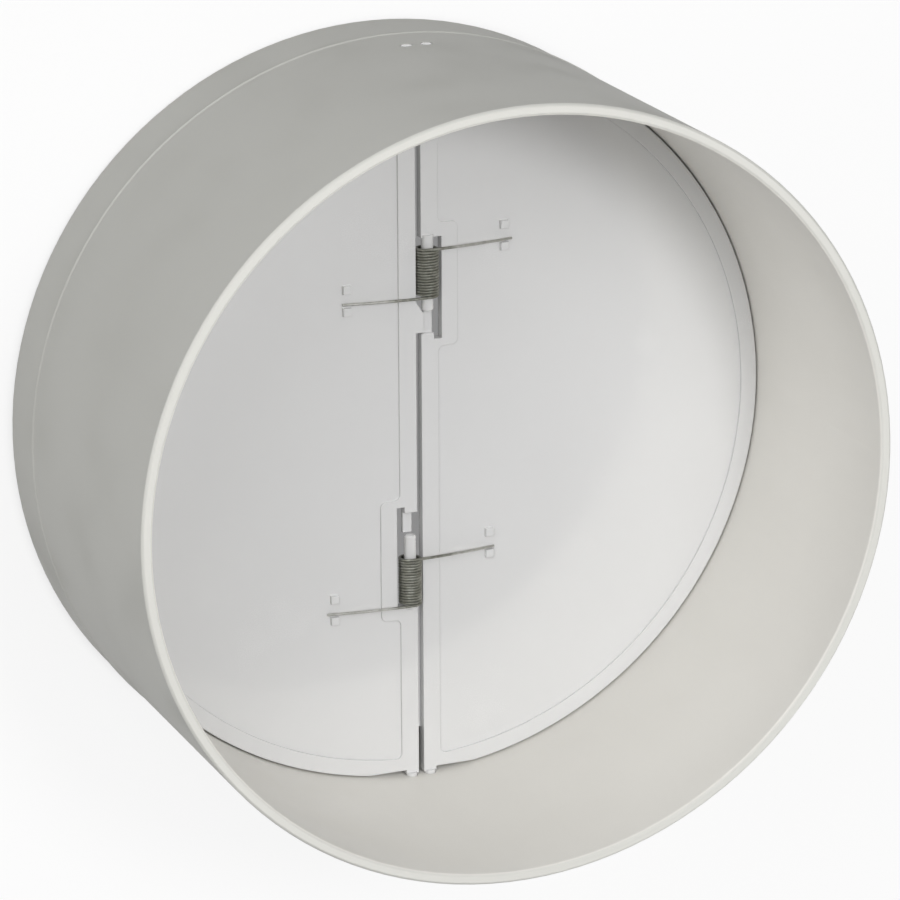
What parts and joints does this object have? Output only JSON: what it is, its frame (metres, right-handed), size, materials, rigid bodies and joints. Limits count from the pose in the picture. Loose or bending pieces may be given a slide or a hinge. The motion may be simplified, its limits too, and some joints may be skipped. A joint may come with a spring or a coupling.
{
  "type": "duct backdraft damper",
  "caption": "Short moulded duct ring with spring-closed half-round flaps that let air through one way and shut against return flow.",
  "frame": {"origin": "centre of the rear rim, the face that it stands on", "axes": "+Z along the duct in the direction of the air, from the rear rim to the front rim; Y along the hinge axes; X across the flaps"},
  "size_m": [0.1484, 0.1484, 0.0755],
  "materials": {
    "housing_plastic": "semi-gloss moulded, warm off-white",
    "flap_plastic": "satin moulded, cool white",
    "spring_wire": "bright drawn spring wire"
  },
  "bodies": {
    "housing": {"housing": "housing_plastic"},
    "flap_right": {"flap_right": "flap_plastic", "spring_upper": "spring_wire"},
    "flap_left": {"flap_left": "flap_plastic", "spring_lower": "spring_wire"}
  },
  "joints": [
    {"name": "flap_right_hinge", "type": "hinge", "parent": "housing", "child": "flap_right", "pos_m": [0.00195, 0, 0.0228], "axis": [0, -1, 0], "range_deg": [0, 80], "stiffness_Nm_per_rad": 0.0028, "springref_deg": -17.19, "deforming": ["spring_upper", "spring_lower"]},
    {"name": "flap_left_hinge", "type": "hinge", "parent": "housing", "child": "flap_left", "pos_m": [-0.00195, 0, 0.0228], "axis": [0, 1, 0], "range_deg": [0, 80], "stiffness_Nm_per_rad": 0.0028, "springref_deg": -17.19, "deforming": ["spring_upper", "spring_lower"]}
  ]
}
